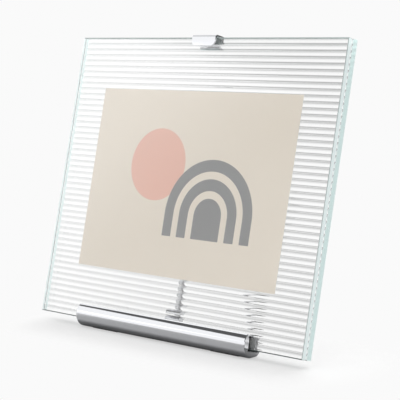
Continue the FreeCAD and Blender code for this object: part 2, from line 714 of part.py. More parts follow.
# Reeded pane: a plain back and round reeds on the side that faces the print.
def make_reeded_pane():
    body = new_body("reeded_pane")
    lean_back(body)
    sketch = new_sketch(body, "slab_section", side_view)
    add_rectangle(sketch, slab_face, pane_back, pane_foot, pane_top)
    slab = pad(body, sketch, "sizes.pane_width", both_ways=True)
    back_edges = edge_names(slab, lambda middle, direction, edge: (
        near(middle.y, pane_back) and not runs_along(direction, front_to_back)))
    dress(body, "Chamfer", "slab_arris", slab, back_edges, "sizes.glass_arris")

    reed_count = "trunc(sizes.pane_height / sizes.reed_pitch)"
    margin = f"((sizes.pane_height - {reed_count} * sizes.reed_pitch) / 2)"
    first = f"({pane_foot} + {margin} + sizes.reed_valley / 2)"
    chord = "(sizes.reed_pitch - sizes.reed_valley)"
    curve = f"(({chord} * {chord} / 4 + sizes.reed_height * sizes.reed_height) / (2 * sizes.reed_height))"
    root = f"({slab_face} + sizes.reed_height)"
    sketch = new_sketch(body, "reed", side_view)
    add_outline(sketch, [
        (root, first),
        (root, f"{first} + {chord}"),
        (slab_face, f"{first} + {chord}", curve, 1),
        (slab_face, first),
    ])
    reed = pad(body, sketch, "sizes.pane_width", both_ways=True)
    reeds = body.newObject("PartDesign::LinearPattern", "reeds")
    reeds.Originals = [reed]
    reeds.Direction = (origin_part(body, up_axis), [""])
    reeds.setExpression("Length", f"({reed_count} - 1) * sizes.reed_pitch")
    reeds.setExpression("Occurrences", reed_count)
    body.Tip = reeds
    doc.recompute()
    return body


def make_front_pane():
    body = new_body("front_pane")
    lean_back(body)
    sketch = new_sketch(body, "front_section", side_view)
    add_rectangle(sketch, pane_front, print_face, pane_foot, pane_top)
    glass = pad(body, sketch, "sizes.pane_width", both_ways=True)
    every_edge = edge_names(glass, lambda middle, direction, edge: True)
    dress(body, "Chamfer", "front_arris", glass, every_edge, "sizes.glass_arris")
    return body


def make_photo_print():
    body = new_body("photo_print")
    lean_back(body)
    sketch = new_sketch(body, "print_section", side_view, "sizes.print_shift")
    face = f"({print_face} + sizes.print_play)"
    foot = f"({pane_foot} + sizes.print_lift)"
    add_rectangle(sketch, face, f"{face} + sizes.print_thickness", foot, f"{foot} + sizes.print_height")
    pad(body, sketch, "sizes.print_width", both_ways=True)
    return body


def add_hook(body, name, inner, sheet, foot, width):
    """A sheet bent over both panes: inner is its distance from the glass."""
    near_face = f"({pane_front} - {inner})"
    far_face = f"({pane_back} + {inner})"
    inside_top = f"({pane_top} + {inner})"
    sketch = new_sketch(body, name, side_view)
    add_outline(sketch, [
        (f"{near_face} - {sheet}", foot),
        (near_face, foot),
        (near_face, inside_top),
        (far_face, inside_top),
        (far_face, foot),
        (f"{far_face} + {sheet}", foot),
        (f"{far_face} + {sheet}", f"{inside_top} + {sheet}"),
        (f"{near_face} - {sheet}", f"{inside_top} + {sheet}"),
    ])
    return pad(body, sketch, width, both_ways=True)


def hook_bends(hook, level):
    return edge_names(hook, lambda middle, direction, edge: (
        runs_along(direction, side_to_side) and near(middle.z, level)))


# Top clip: one bent sheet over both panes, with rounded lower corners, and a soft lining.
def make_top_clip():
    body = new_body("top_clip")
    lean_back(body)
    foot = f"({pane_top} - sizes.clip_grip)"
    inside_top = f"({pane_top} + sizes.clip_lining)"
    hook = add_hook(body, "clip_section", "sizes.clip_lining", "sizes.clip_sheet", foot, "sizes.clip_width")
    inner = hook_bends(hook, inside_top)
    hook = dress(body, "Fillet", "inner_bends", hook, inner, "sizes.clip_bend")
    outer = hook_bends(hook, f"{inside_top} + sizes.clip_sheet")
    hook = dress(body, "Fillet", "outer_bends", hook, outer, "sizes.clip_bend + sizes.clip_sheet")
    corners = edge_names(hook, lambda middle, direction, edge: (
        runs_along(direction, front_to_back) and near(middle.z, foot)))
    dress(body, "Fillet", "lower_corners", hook, corners, "sizes.clip_corner")
    return body


def make_clip_lining():
    body = new_body("clip_lining")
    lean_back(body)
    foot = f"({pane_top} - sizes.clip_grip + sizes.lining_inset)"
    width = "sizes.clip_width - 2 * sizes.lining_inset"
    hook = add_hook(body, "lining_section", "0", "sizes.clip_lining", foot, width)
    outer = hook_bends(hook, f"{pane_top} + sizes.clip_lining")
    hook = dress(body, "Fillet", "lining_bends", hook, outer, "sizes.clip_bend")
    corners = edge_names(hook, lambda middle, direction, edge: (
        runs_along(direction, front_to_back) and near(middle.z, foot)))
    dress(body, "Fillet", "lining_corners", hook, corners, "sizes.clip_corner - sizes.lining_inset")
    return body


sub_parts = [
    make_foot_bar(), make_slot_liner(), make_bar_pads(), make_foot_bracket(),
    make_bracket_screws(), make_spine_rod(), make_grub_screws(), make_hinge_head(),
    make_rest_pad(), make_hinge_pin(), make_pin_washers(), make_pin_retainer(),
    make_leg_knuckle(), make_leg_rod(), make_leg_tip(), make_reeded_pane(),
    make_front_pane(), make_photo_print(), make_top_clip(), make_clip_lining(),
]
doc.recompute()

cut_kinds = ("PartDesign::Pocket", "PartDesign::SubtractiveCylinder")
for thing in doc.Objects:
    if "Invalid" in thing.State or "Error" in thing.State:
        raise RuntimeError(f"{thing.Label} did not rebuild: {thing.State}")
    if thing.TypeId in cut_kinds and thing.Shape.Volume >= thing.BaseFeature.Shape.Volume:
        raise RuntimeError(f"{thing.Label} cuts nothing")
for body in sub_parts:
    if body.Shape.isNull() or not body.Shape.isValid():
        raise RuntimeError(f"{body.Label} has no sound shape")

os.makedirs("parts", exist_ok=True)
for body in sub_parts:
    body.Shape.exportStep(f"parts/{body.Label}.step")
    box = body.Shape.BoundBox
    print(f"{body.Label}: {len(body.Shape.Solids)} solid, {body.Shape.Volume:.1f} mm3, "
          f"x {box.XMin:.2f} {box.XMax:.2f}, y {box.YMin:.2f} {box.YMax:.2f}, "
          f"z {box.ZMin:.2f} {box.ZMax:.2f}")
print(f"leg length {size_of(leg_length):.2f}, leg tilt {size_of(leg_tilt):.2f}, "
      f"hinge at y {size_of(axis_back) + size_of(hinge_y):.3f}, z {size_of(hinge_z):.3f}")
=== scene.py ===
import json
from math import acos, atan2, cos, pi, radians, sin, sqrt

import bmesh
import bpy
from mathutils import Matrix, Vector


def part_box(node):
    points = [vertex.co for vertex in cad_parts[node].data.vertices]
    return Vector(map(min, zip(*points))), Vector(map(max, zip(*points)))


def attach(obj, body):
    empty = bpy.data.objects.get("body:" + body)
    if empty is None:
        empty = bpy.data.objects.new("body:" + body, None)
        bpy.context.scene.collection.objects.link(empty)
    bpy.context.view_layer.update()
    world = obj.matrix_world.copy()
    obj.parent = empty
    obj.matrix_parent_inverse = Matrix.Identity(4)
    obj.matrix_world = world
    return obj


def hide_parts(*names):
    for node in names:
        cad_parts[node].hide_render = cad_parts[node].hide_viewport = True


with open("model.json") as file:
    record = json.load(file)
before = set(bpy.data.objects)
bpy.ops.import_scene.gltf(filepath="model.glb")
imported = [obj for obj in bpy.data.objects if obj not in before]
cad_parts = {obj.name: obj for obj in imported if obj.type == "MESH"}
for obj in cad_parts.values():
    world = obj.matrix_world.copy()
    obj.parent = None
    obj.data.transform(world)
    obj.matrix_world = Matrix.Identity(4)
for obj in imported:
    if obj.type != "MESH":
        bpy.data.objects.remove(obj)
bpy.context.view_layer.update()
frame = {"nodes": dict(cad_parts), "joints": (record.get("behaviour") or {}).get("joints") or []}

nodes = frame["nodes"]
joints = {joint["name"]: joint for joint in frame["joints"]}
millimetre = 0.001


# Places

# The glass and the stand are modelled upright in millimetres round the bar's axis, then leaned back.
# The leg is modelled hanging from its hinge, then swung out.

def placeAt(origin, turn):
    return Matrix.Translation(origin) @ Matrix.Rotation(turn, 4, "X") @ Matrix.Scale(millimetre, 4)


def boxIn(node, place):  # corners of a CAD node, in millimetres, as seen from a place
    inverse = place.inverted()
    points = [inverse @ vert.co for vert in nodes[node].data.vertices]
    low = Vector(min(point[axis] for point in points) for axis in range(3))
    high = Vector(max(point[axis] for point in points) for axis in range(3))
    return low, high


barShape = {
    "radius": 9.0,
    "flatDepth": 0.7,
    "linerWall": 1.1,        # rubber in front of the glass
    "lipRise": 5.1,          # where the front jaw starts to curve away, above the glass's foot
    "lipRadius": 7.0,
    "slotPlay": 0.3,
    "linerFloor": 0.8,
    "roundSteps": 180,
    "lipSteps": 24,
    "endBevel": 0.5,
    "jawBevel": 0.35,
    "edgeSteps": 3,
    "slotSkin": 0.5,         # faces further inside the round than this belong to the slot
    "linerSteps": 8,
    "recessDepth": {"bar_pads": 0.6, "foot_bracket": 1.5},
    "recessPlay": 0.12,
    "cutterHeight": 6,
    "padEdge": 0.25,
}

slideAxis = Vector(joints["rear_glass_lift"]["axis"])
leanTurn = -atan2(slideAxis.y, slideAxis.z)
barLow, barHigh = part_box("foot_bar")
barAxis = Vector((0, (barLow.y + barHigh.y) / 2,
                  barLow.z + (barShape["radius"] - barShape["flatDepth"]) * millimetre))
leaning = placeAt(barAxis, leanTurn)
upright = placeAt(barAxis, 0)

tipLow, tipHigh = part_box("leg_tip")
tipRadius = (tipHigh.x - tipLow.x) / 2
hingePoint = Vector(joints["leg_fold"]["pos_m"])
tipCentre = Vector((0, tipHigh.y - tipRadius, tipLow.z + tipRadius))
legTurn = atan2(tipCentre.y - hingePoint.y, hingePoint.z - tipCentre.z)
onLeg = placeAt(hingePoint, legTurn)


# Materials

def toLinear(hexColour):
    channels = [int(hexColour[spot:spot + 2], 16) / 255 for spot in (1, 3, 5)]
    return [c / 12.92 if c <= 0.04045 else ((c + 0.055) / 1.055) ** 2.4 for c in channels] + [1]


def setInputs(node, inputs):  # a value or another node's socket, by the input's name or number
    for spot, value in inputs.items():
        if isinstance(value, bpy.types.NodeSocket):
            node.id_data.links.new(value, node.inputs[spot])
        else:
            node.inputs[spot].default_value = value


def addNode(tree, kind, inputs=None, **fields):  # fields are the node's own settings
    node = tree.nodes.new(kind)
    for field, value in fields.items():
        setattr(node, field, value)
    setInputs(node, inputs or {})
    return node


def newMaterial(name, baseColour, inputs):
    material = bpy.data.materials.new(name)
    material.use_nodes = True
    tree = material.node_tree
    shader = tree.nodes["Principled BSDF"]
    setInputs(shader, {"Base Color": toLinear(baseColour), **inputs})
    return material, tree, shader


def makeGrain(tree, size, detail, stretch=None):  # size of its larger features in millimetres
    place = addNode(tree, "ShaderNodeTexCoord").outputs["Object"]
    if stretch:
        place = addNode(tree, "ShaderNodeMapping", {"Vector": place, "Scale": stretch}).outputs["Vector"]
    scale = 1 / (size * millimetre)
    noise = addNode(tree, "ShaderNodeTexNoise", {"Vector": place, "Scale": scale, "Detail": detail})
    return noise.outputs["Fac"]


def layGrain(tree, shader, grain, roughness=None, depth=None):
    # roughness is its least and its most, depth is in millimetres
    if roughness:
        least, most = roughness
        spread = addNode(tree, "ShaderNodeMapRange", {"Value": grain, "To Min": least, "To Max": most})
        setInputs(shader, {"Roughness": spread.outputs["Result"]})
    if depth:
        bump = addNode(tree, "ShaderNodeBump", {
            "Height": grain, "Strength": 1.0, "Distance": depth * millimetre})
        setInputs(shader, {"Normal": bump.outputs["Normal"]})


def polishedChrome():
    # Chrome plate over polished steel: a clean mirror, slightly hazed by handling
    material, tree, shader = newMaterial("polishedChrome", "#DCDDE0", {"Metallic": 1.0, "Roughness": 0.06})
    layGrain(tree, shader, makeGrain(tree, 14, 3.0), roughness=(0.035, 0.085))
    layGrain(tree, shader, makeGrain(tree, 30, 1.0), depth=0.02)
    return material


def satinChrome():
    # Cast and tumbled before plating: softer highlights and a faint orange peel
    material, tree, shader = newMaterial("satinChrome", "#CFD0D2", {"Metallic": 1.0, "Roughness": 0.2})
    layGrain(tree, shader, makeGrain(tree, 0.8, 2.0), roughness=(0.14, 0.26), depth=0.01)
    return material


def lacqueredSlot():
    # The slot is milled after plating, then lacquered: dull light grey with marks along the bar
    material, tree, shader = newMaterial("lacqueredMilledSlot", "#DCDDDE", {"Roughness": 0.42})
    marks = makeGrain(tree, 0.4, 3.0, stretch=(0.05, 1.0, 1.0))
    layGrain(tree, shader, marks, roughness=(0.34, 0.5), depth=0.01)
    return material


def zincSteel():
    # Zinc-plated fasteners: dull and slightly blue. The turning marks are too fine to see,
    # so they are drawn 0.3 mm wide.
    material, tree, shader = newMaterial("zincPlatedSteel", "#B9BCC2", {"Metallic": 1.0, "Roughness": 0.35})
    layGrain(tree, shader, makeGrain(tree, 0.3, 4.0), roughness=(0.26, 0.44), depth=0.01)
    return material


def blackRubber():
    # Moulded rubber: no shine, a fine powdery grain
    material, tree, shader = newMaterial("mouldedRubber", "#161616", {"Roughness": 0.7})
    layGrain(tree, shader, makeGrain(tree, 0.25, 3.0), roughness=(0.6, 0.85), depth=0.02)
    return material


def clearLining():
    # Soft clear film, a little cloudy
    material, tree, shader = newMaterial("softClearFilm", "#D9DCDC", {
        "Roughness": 0.4, "Transmission Weight": 0.6})
    layGrain(tree, shader, makeGrain(tree, 1.5, 2.0), roughness=(0.3, 0.5))
    return material


def naturalNylon():
    # Punched nylon sheet: milky, because light goes half a millimetre into it
    material, tree, shader = newMaterial("naturalNylon", "#E6E3D6", {
        "Roughness": 0.45, "Subsurface Weight": 0.2, "Subsurface Scale": 0.5 * millimetre})
    layGrain(tree, shader, makeGrain(tree, 0.4, 2.0), roughness=(0.38, 0.55))
    return material


glassLook = {
    "index": 1.52,
    "tint": "#A9DDD6",       # colour that the glass keeps over a long path
    "density": 1.0,          # per metre
    "waveSize": 60.0,        # slow waves of float glass, millimetres
    "waveDepth": 0.004,
    "clearEdge": ("#E9F5F5", 0.40),     # colour, and a painted glow: emission that stands in for the light that travels inside the pane and leaves there
    "reededEdge": ("#DEF3F1", 0.32),
    "arris": "#B4BEBC",      # where the light is scattered away: a frosted grey, darkened further as painted shade
    # painted shade: the foot edge is given a dark grey
    "foot": "#5F6A68",
}


def glassMaterial(name):
    # Soda-lime glass: clear face on, pale aqua along its edges where light travels far inside it
    material, tree, shader = newMaterial(name, "#FFFFFF", {
        "Roughness": 0.0, "IOR": glassLook["index"], "Transmission Weight": 1.0})
    layGrain(tree, shader, makeGrain(tree, glassLook["waveSize"], 1.0), depth=glassLook["waveDepth"])
    inside = addNode(tree, "ShaderNodeVolumeAbsorption", {
        "Color": toLinear(glassLook["tint"]), "Density": glassLook["density"]})
    setInputs(tree.nodes["Material Output"], {"Volume": inside.outputs["Volume"]})
    return material


def groundEdgePaintedGlow(name, colour, glow):
    # Edges ground and seamed by a belt: a fine frost that gathers the pale aqua of the glass. The emission is
    # a painted glow that stands in for light carried inside the pane.
    material, tree, shader = newMaterial(name, colour, {
        "Roughness": 0.35, "IOR": glassLook["index"], "Transmission Weight": 0.5,
        # painted glow: the edge gives off its own colour as emission
        "Emission Color": toLinear(colour), "Emission Strength": glow})
    layGrain(tree, shader, makeGrain(tree, 0.5, 4.0), roughness=(0.25, 0.45), depth=0.015)
    return material


def seamedGlassWithPaintedShade(name, colour):
    # Arrises and the foot edge, seamed by hand on a coarser belt: an opaque grey without the tint, frost on
    # the arrises and painted shade on both, darkest on the foot
    material, tree, shader = newMaterial(name, colour, {"Roughness": 0.5, "IOR": glassLook["index"]})
    layGrain(tree, shader, makeGrain(tree, 0.3, 4.0), roughness=(0.4, 0.6), depth=0.02)
    return material


def plainPaper():
    # The unprinted back and sides of the sheet: matt white paper with a fine fibre
    material, tree, shader = newMaterial("photoPaperBack", "#EDEBE6", {"Roughness": 0.8})
    layGrain(tree, shader, makeGrain(tree, 0.5, 5.0), roughness=(0.7, 0.9), depth=0.01)
    return material


artwork = {
    "paper": "#EBE1D2",
    "peach": "#EDBCAA",
    "grey": "#8C8C8C",
    "fibresPerMillimetre": 60.0,        # finer than a pixel, so they only liven the tone
    "fibreTone": (0.985, 1.015),
    "edge": 0.15,                       # softness of an ink edge, millimetres
    "disc": ((-27.0, 12.0), 25.0),      # across and up from the middle of the print, and the radius
    "archMiddle": (24.0, -20.0),
    "archBands": ((38.0, 30.0), (25.0, 17.0), (12.0, 0.0)),  # outer and inner radii
    "archFoot": -36.0,
    "farLeft": -200.0,                  # beyond the sheet
}


def inkMask(tree, spot, middle, outer, inner, foot):
    # 1 inside a disc or a ring, or inside an arch with straight legs where it has a foot
    edge = artwork["edge"]
    offset = addNode(tree, "ShaderNodeVectorMath", {0: spot, 1: (*middle, 0)},
                     operation="SUBTRACT").outputs["Vector"]
    if foot is not None:  # below its middle, only the distance to the side counts
        offset = addNode(tree, "ShaderNodeVectorMath", {0: offset, 1: (artwork["farLeft"], 0, 0)},
                         operation="MAXIMUM").outputs["Vector"]
    reach = addNode(tree, "ShaderNodeVectorMath", {0: offset}, operation="LENGTH").outputs["Value"]
    limits = [(reach, outer, outer - edge)]
    if inner > 0:
        limits.append((reach, inner, inner + edge))
    if foot is not None:
        up = addNode(tree, "ShaderNodeSeparateXYZ", {"Vector": spot}).outputs["Y"]
        limits.append((up, foot, foot + edge))
    mask = 1.0
    for value, start, end in limits:
        inside = addNode(tree, "ShaderNodeMapRange", {"Value": value, "From Min": start, "From Max": end})
        mask = addNode(tree, "ShaderNodeMath", {0: mask, 1: inside.outputs["Result"]},
                       operation="MULTIPLY").outputs["Value"]
    return mask


def printedPaper():
    # Satin photo paper with a flat-colour design: a disc behind three arches
    material, tree, shader = newMaterial("satinPhotoPaper", artwork["paper"], {"Roughness": 0.5})
    spot = addNode(tree, "ShaderNodeUVMap", uv_map="printPlace").outputs["UV"]
    fibre = addNode(tree, "ShaderNodeTexNoise", {
        "Vector": spot, "Scale": artwork["fibresPerMillimetre"], "Detail": 5.0}).outputs["Fac"]
    darkest, lightest = artwork["fibreTone"]
    tone = addNode(tree, "ShaderNodeMapRange", {"Value": fibre, "To Min": darkest, "To Max": lightest})
    colour = addNode(tree, "ShaderNodeVectorMath", {
        0: toLinear(artwork["paper"])[:3], "Scale": tone.outputs["Result"]},
        operation="SCALE").outputs["Vector"]
    discMiddle, discRadius = artwork["disc"]
    layers = [("peach", discMiddle, discRadius, 0.0, None)]
    layers += [("grey", artwork["archMiddle"], outer, inner, artwork["archFoot"])
               for outer, inner in artwork["archBands"]]
    for ink, *form in layers:
        colour = addNode(tree, "ShaderNodeMix", {
            0: inkMask(tree, spot, *form), 6: colour, 7: toLinear(artwork[ink])}, data_type="RGBA").outputs[2]
    setInputs(shader, {"Base Color": colour})
    layGrain(tree, shader, fibre, roughness=(0.42, 0.58), depth=0.01)
    return material


chrome = polishedChrome()
satin = satinChrome()
slotLacquer = lacqueredSlot()
zinc = zincSteel()
rubber = blackRubber()
film = clearLining()
nylon = naturalNylon()
# ground edges of both panes, with a painted glow
clearEdge = groundEdgePaintedGlow("groundClearGlassEdgePaintedGlow", *glassLook["clearEdge"])
reededEdge = groundEdgePaintedGlow("groundReededGlassEdgePaintedGlow", *glassLook["reededEdge"])
# opaque grey arris and foot edges: frost on the arrises, painted shade on both
arrisFrostAndShade = seamedGlassWithPaintedShade("seamedArrisFrostAndPaintedShade", glassLook["arris"])
footPaintedShade = seamedGlassWithPaintedShade("seamedFootPaintedShade", glassLook["foot"])
clearGlass = glassMaterial("floatGlass")
reededGlass = glassMaterial("rolledReededGlass")
print("materials ready")


# Modelling helpers

mergeReach = 0.001           # millimetres
cutReach = 0.0001
nearReach = 0.01             # how near an edge or a face lies to the place that it is looked for at
alongAxis = 0.9              # share of a direction that lies along an axis
fineSteps = 2                # segments of a small broken edge
softTurn = 32                # degrees; sharper turns keep a hard edge


def traceLine(bm, start, moves):
    # line in the side view; a move is (across, up) or (centreAcross, centreUp, turn, steps)
    tip = bmesh.ops.create_vert(bm, co=(0, *start))["vert"][0]
    for move in moves:
        if len(move) == 2:
            tip = bmesh.ops.extrude_vert_indiv(bm, verts=[tip])["verts"][0]
            tip.co = (0, *move)
        else:
            across, up, turn, steps = move
            grown = bmesh.ops.spin(bm, geom=[tip], cent=(0, across, up), axis=(1, 0, 0),
                                   angle=turn, steps=steps)
            tip = next(part for part in grown["geom_last"] if isinstance(part, bmesh.types.BMVert))


def traceOutline(bm, start, moves):  # the same line closed, as a flat face
    traceLine(bm, start, moves)
    bmesh.ops.remove_doubles(bm, verts=bm.verts, dist=mergeReach)
    return bmesh.ops.contextual_create(bm, geom=bm.edges[:])["faces"]


def pullAcross(bm, faces, left, right):  # turns flat faces at x = 0 into a solid from left to right
    bmesh.ops.translate(bm, verts=bm.verts, vec=(left, 0, 0))
    edges = list({edge for face in faces for edge in face.edges})
    grown = bmesh.ops.extrude_face_region(bm, geom=faces + edges, use_keep_orig=True)
    verts = [part for part in grown["geom"] if isinstance(part, bmesh.types.BMVert)]
    bmesh.ops.translate(bm, verts=verts, vec=(right - left, 0, 0))
    bmesh.ops.recalc_face_normals(bm, faces=bm.faces)


def roundEdges(bm, edges, radius, steps):
    bmesh.ops.bevel(bm, geom=edges, offset=radius, segments=steps, profile=0.5, affect="EDGES", material=-1)


def edgesWhere(bm, test):  # test gets the middle and the direction of each edge
    chosen = []
    for edge in bm.edges:
        first, last = edge.verts
        if test((first.co + last.co) / 2, (last.co - first.co).normalized()):
            chosen.append(edge)
    return chosen


def makeBlock(bm, low, high):
    made = bmesh.ops.create_cube(bm, size=1)["verts"]
    bmesh.ops.scale(bm, vec=high - low, verts=made)
    bmesh.ops.translate(bm, vec=(high + low) / 2, verts=made)


def makeRound(bm, radius, start, finish, steps, bevel):  # round bar from start to finish
    run = finish - start
    place = Matrix.Translation((start + finish) / 2) @ run.to_track_quat("Z", "Y").to_matrix().to_4x4()
    bmesh.ops.create_cone(bm, cap_ends=True, segments=steps, radius1=radius, radius2=radius,
                          depth=run.length)
    rims = [edge for edge in bm.edges if abs(edge.verts[0].co.z - edge.verts[1].co.z) < mergeReach]
    roundEdges(bm, rims, bevel, fineSteps)
    bmesh.ops.transform(bm, matrix=place, verts=bm.verts)


def finishPiece(bm, name, place, materials, body, node, sharpFrom=softTurn, weighted=False):
    bmesh.ops.transform(bm, matrix=place, verts=bm.verts)
    mesh = bpy.data.meshes.new(name)
    bm.to_mesh(mesh)
    bm.free()
    for material in materials:
        mesh.materials.append(material)
    piece = bpy.data.objects.new(name, mesh)
    bpy.context.scene.collection.objects.link(piece)
    smoothPiece(piece, sharpFrom)
    if weighted:
        piece.modifiers.new("evenFaces", "WEIGHTED_NORMAL").keep_sharp = True
    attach(piece, body)
    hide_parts(node)
    return piece


def smoothPiece(piece, sharpFrom):
    piece.data.polygons.foreach_set("use_smooth", [True] * len(piece.data.polygons))
    piece.data.set_sharp_from_angle(angle=radians(sharpFrom))


# Glass

paneShape = {
    "arris": 0.4,            # ground bevel along the edges
    "reedPitch": 4.09,
    "reedHeight": 0.9,
    "reedValley": 0.15,
    "reedSteps": 18,
    "flatTurn": 10,          # degrees; sharper turns keep a hard edge
    "reedTurn": 25,
}
frontLow, frontHigh = boxIn("front_pane", leaning)
rearLow, rearHigh = boxIn("reeded_pane", leaning)
printLow, printHigh = boxIn("photo_print", leaning)


def grindEdges(bm, low, high):
    # material 0 for the big faces, 1 for the sides and the top (painted glow), 2 for arrises (frost and
    # painted shade), 3 for the foot (painted shade)
    arris = paneShape["arris"]
    for face in bm.faces:
        middle = face.calc_center_median()
        onSide = abs(middle.x) > high.x - nearReach or middle.z > high.z - nearReach
        onFace = low.z + arris < middle.z < high.z - arris and abs(face.normal.x) < 0.5
        onFoot = middle.z < low.z + arris and abs(middle.x) < high.x - arris
        face.material_index = 1 if onSide else 0 if onFace else 3 if onFoot else 2


def makeFrontPane():
    bm = bmesh.new()
    makeBlock(bm, frontLow, frontHigh)
    roundEdges(bm, bm.edges[:], paneShape["arris"], 1)
    grindEdges(bm, frontLow, frontHigh)
    finishPiece(bm, "frontPaneGlass", leaning, [clearGlass, clearEdge, arrisFrostAndShade, footPaintedShade],
                "front_glass", "front_pane", sharpFrom=paneShape["flatTurn"])


def makeReededPane():
    pitch, height, valley = (paneShape[key] for key in ("reedPitch", "reedHeight", "reedValley"))
    count = int((rearHigh.z - rearLow.z) / pitch)
    margin = (rearHigh.z - rearLow.z - count * pitch) / 2
    chord = pitch - valley
    radius = (chord ** 2 / 4 + height ** 2) / (2 * height)
    valleyFace = rearLow.y + height
    halfTurn = atan2(chord / 2, radius - height)
    moves = []
    for reed in range(count):
        middle = rearLow.z + margin + (reed + 0.5) * pitch
        moves += [(valleyFace, middle - chord / 2),
                  (rearLow.y + radius, middle, -2 * halfTurn, paneShape["reedSteps"])]
    bm = bmesh.new()
    traceLine(bm, (valleyFace, rearLow.z), moves + [(valleyFace, rearHigh.z)])
    bmesh.ops.remove_doubles(bm, verts=bm.verts, dist=mergeReach)
    strip = bmesh.ops.extrude_edge_only(bm, edges=bm.edges[:])["geom"]
    for vert in strip:
        if isinstance(vert, bmesh.types.BMVert):
            vert.co.y = rearHigh.y
    pullAcross(bm, bm.faces[:], rearLow.x, rearHigh.x)
    grindEdges(bm, rearLow, rearHigh)
    finishPiece(bm, "reededPaneGlass", leaning, [reededGlass, reededEdge, arrisFrostAndShade, footPaintedShade],
                "rear_glass", "reeded_pane", sharpFrom=paneShape["reedTurn"])


printShape = {
    "corner": 0.3,
    "cornerSteps": 3,
    "cornerTurn": 30,        # degrees; sharper turns keep a hard edge
}


def makePrint():
    bm = bmesh.new()
    makeBlock(bm, printLow, printHigh)
    corners = edgesWhere(bm, lambda middle, along: abs(along.y) > alongAxis)
    roundEdges(bm, corners, printShape["corner"], printShape["cornerSteps"])
    middle = (printHigh + printLow) / 2
    layer = bm.loops.layers.uv.new("printPlace")
    for face in bm.faces:
        face.material_index = 0 if face.normal.y < -alongAxis else 1
        for loop in face.loops:
            loop[layer].uv = (loop.vert.co.x - middle.x, loop.vert.co.z - middle.z)
    finishPiece(bm, "photoPrintSheet", leaning, [printedPaper(), plainPaper()], "rear_glass",
                "photo_print", sharpFrom=printShape["cornerTurn"])


makeFrontPane()
makeReededPane()
makePrint()
print("glass and print ready")


# Foot bar and what is in its slot

def makeFootBar():
    shape = barShape
    radius = shape["radius"]
    half = (barHigh.x - barLow.x) / 2 / millimetre
    slotFront = frontLow.y - shape["linerWall"]
    slotBack = rearHigh.y + shape["slotPlay"]
    slotFloor = frontLow.z - shape["linerFloor"]
    lipUp = frontLow.z + shape["lipRise"]
    lipAcross = slotFront - shape["lipRadius"]
    # where the lip's curve meets the round of the bar
    distance = sqrt(lipAcross ** 2 + lipUp ** 2)
    toLip = atan2(lipUp, lipAcross)
    opening = acos((radius ** 2 + distance ** 2 - shape["lipRadius"] ** 2) / (2 * radius * distance))
    corner = toLip - opening
    cornerPoint = Vector((0, radius * cos(corner), radius * sin(corner)))
    rearTop = acos(slotBack / radius)
    lipSweep = atan2(cornerPoint.z - lipUp, cornerPoint.y - lipAcross)
    bm = bmesh.new()
    faces = traceOutline(bm, (slotBack, radius * sin(rearTop)), [
        (0, 0, corner - rearTop - 2 * pi, shape["roundSteps"]),
        (lipAcross, lipUp, -lipSweep, shape["lipSteps"]),
        (slotFront, slotFloor),
        (slotBack, slotFloor),
    ])
    pullAcross(bm, faces, -half, half)
    tops = (cornerPoint.yz, Vector((slotBack, radius * sin(rearTop))))
    jawTops = edgesWhere(bm, lambda middle, along: (
        abs(along.x) > alongAxis and any((middle.yz - top).length < nearReach for top in tops)))
    roundEdges(bm, jawTops, shape["jawBevel"], shape["edgeSteps"])
    for face in bm.faces:
        middle = face.calc_center_median()
        inside = abs(middle.x) < half - mergeReach and middle.yz.length < radius - shape["slotSkin"]
        face.material_index = 1 if inside and middle.z < lipUp + nearReach else 0
    toUpright = Matrix.Rotation(leanTurn, 4, "X")
    bmesh.ops.transform(bm, matrix=toUpright, verts=bm.verts)
    cut = bmesh.ops.bisect_plane(bm, geom=bm.verts[:] + bm.edges[:] + bm.faces[:], dist=cutReach,
                                 plane_co=(0, 0, shape["flatDepth"] - radius), plane_no=(0, 0, -1),
                                 clear_outer=True)
    bmesh.ops.holes_fill(bm, edges=[part for part in cut["geom_cut"] if isinstance(part, bmesh.types.BMEdge)])
    rims = edgesWhere(bm, lambda middle, along: abs(abs(middle.x) - half) < mergeReach)
    roundEdges(bm, rims, shape["endBevel"], shape["edgeSteps"])
    bar = finishPiece(bm, "footBarChrome", upright, [chrome, slotLacquer], "stand", "foot_bar")
    for node, depth in shape["recessDepth"].items():
        cutRecess(bar, node, depth)
    smoothPiece(bar, softTurn)
    bar.modifiers.new("evenFaces", "WEIGHTED_NORMAL").keep_sharp = True


def cutRecess(bar, node, depth):  # leaves room under the bar for what is let into it
    play = barShape["recessPlay"]
    low, high = boxIn(node, upright)
    top = barShape["flatDepth"] - barShape["radius"] + depth + play
    spans = [(low.x, high.x, low.y, barShape["radius"] * 2)]
    if node == "bar_pads":
        length = padLength()
        spans = [(low.x, low.x + length, low.y, high.y), (high.x - length, high.x, low.y, high.y)]
    for left, right, front, back in spans:
        bm = bmesh.new()
        makeBlock(bm, Vector((left - play, front - play, top - barShape["cutterHeight"])),
                  Vector((right + play, back + play, top)))
        bmesh.ops.transform(bm, matrix=upright, verts=bm.verts)
        mesh = bpy.data.meshes.new("cutter")
        bm.to_mesh(mesh)
        bm.free()
        cutter = bpy.data.objects.new("cutter", mesh)
        bpy.context.scene.collection.objects.link(cutter)
        boolean = bar.modifiers.new("recess", "BOOLEAN")
        boolean.object = cutter
        boolean.operation = "DIFFERENCE"
        boolean.solver = "EXACT"
        applyModifiers(bar)
        bpy.data.objects.remove(cutter)


def applyModifiers(piece):
    view = bpy.context.evaluated_depsgraph_get()
    mesh = bpy.data.meshes.new_from_object(piece.evaluated_get(view))
    piece.modifiers.clear()
    piece.data = mesh


def padLength():
    pads = nodes["bar_pads"].data.vertices
    rightPad = [vert.co.x / millimetre for vert in pads if vert.co.x > 0]
    return max(rightPad) - min(rightPad)


